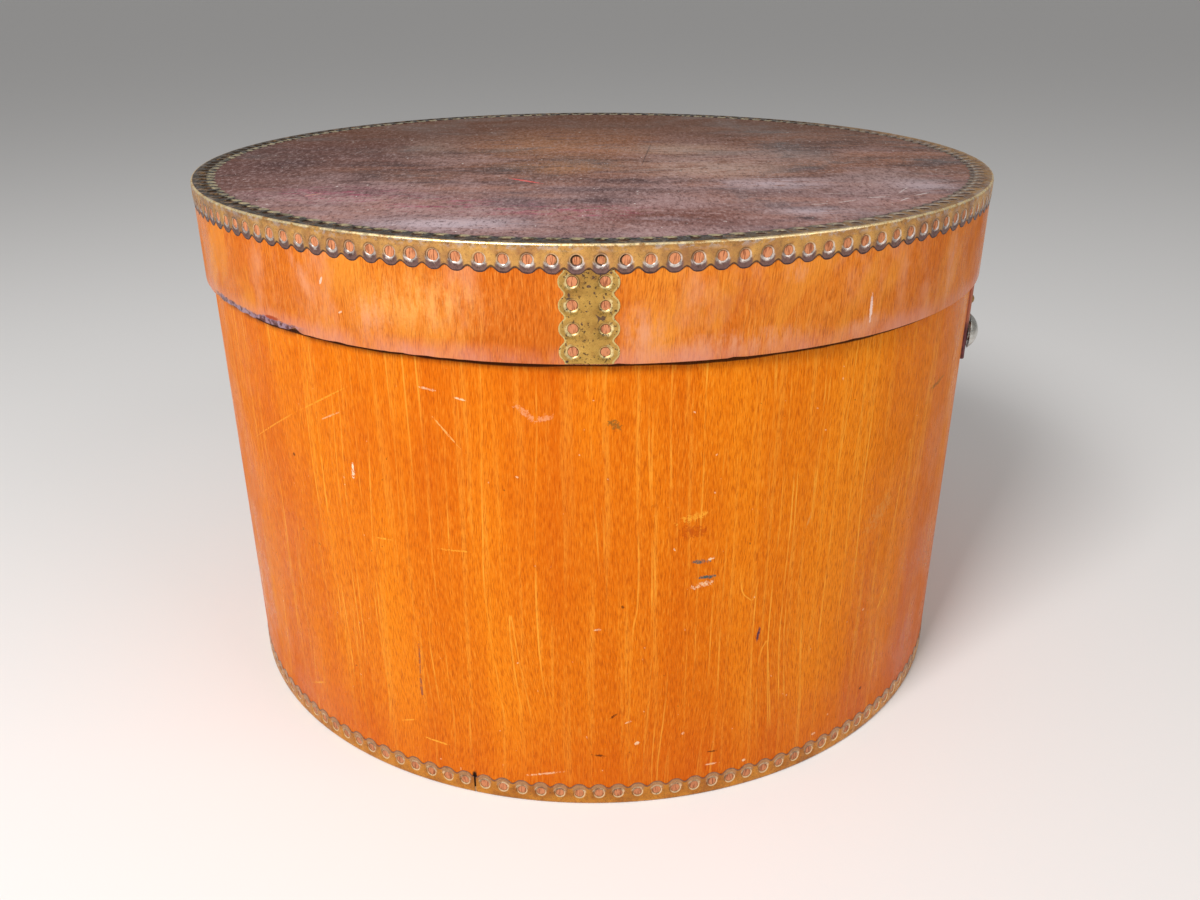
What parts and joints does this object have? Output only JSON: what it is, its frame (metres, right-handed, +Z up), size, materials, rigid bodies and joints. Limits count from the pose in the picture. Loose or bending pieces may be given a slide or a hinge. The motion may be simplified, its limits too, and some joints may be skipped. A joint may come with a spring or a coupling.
{
  "type": "wooden hat box",
  "caption": "Round bent-plywood hat box with a deep lift-off lid, scalloped perforated metal edging round both corners, joint plates and side strap studs.",
  "frame": {"origin": "centre of the box's underside, on the surface that it stands on", "axes": "+Z up along the axis of the box, +X towards the right-hand strap stud, -Y to the front"},
  "size_m": [0.4094, 0.4, 0.2584],
  "materials": {
    "bottom_ply": "plain unvarnished plywood, dusty",
    "wall_ply": "amber-stained varnished plywood with upright grain, scratched and scuffed",
    "band_ply": "amber-stained varnished plywood, hazed and chipped along its lower edge",
    "lid_panel_ply": "dark red-brown worn varnish with dust and scratches",
    "edging_brass": "brassed strip, tarnished, worn bright along the fold",
    "strap_leather": "worn maroon leather",
    "stud_nickel": "dull nickel plate",
    "washer_brass": "dull brass",
    "tack_brass": "dull brass"
  },
  "bodies": {
    "body": {"bottom_panel": "bottom_ply", "body_wall": "wall_ply", "bottom_edging": "edging_brass", "body_joint_plate": "edging_brass", "strap_tab_right": "strap_leather", "strap_tab_left": "strap_leather", "strap_stud_right": "stud_nickel", "strap_stud_left": "stud_nickel", "stud_washers": "washer_brass", "tab_tacks": "tack_brass"},
    "lid": {"lid_panel": "lid_panel_ply", "lid_band": "band_ply", "lid_edging": "edging_brass", "lid_joint_plate": "edging_brass"}
  },
  "joints": [
    {"name": "lid_lift", "type": "slide", "parent": "body", "child": "lid", "axis": [0, 0, 1], "range_m": [0, 0.3]}
  ]
}
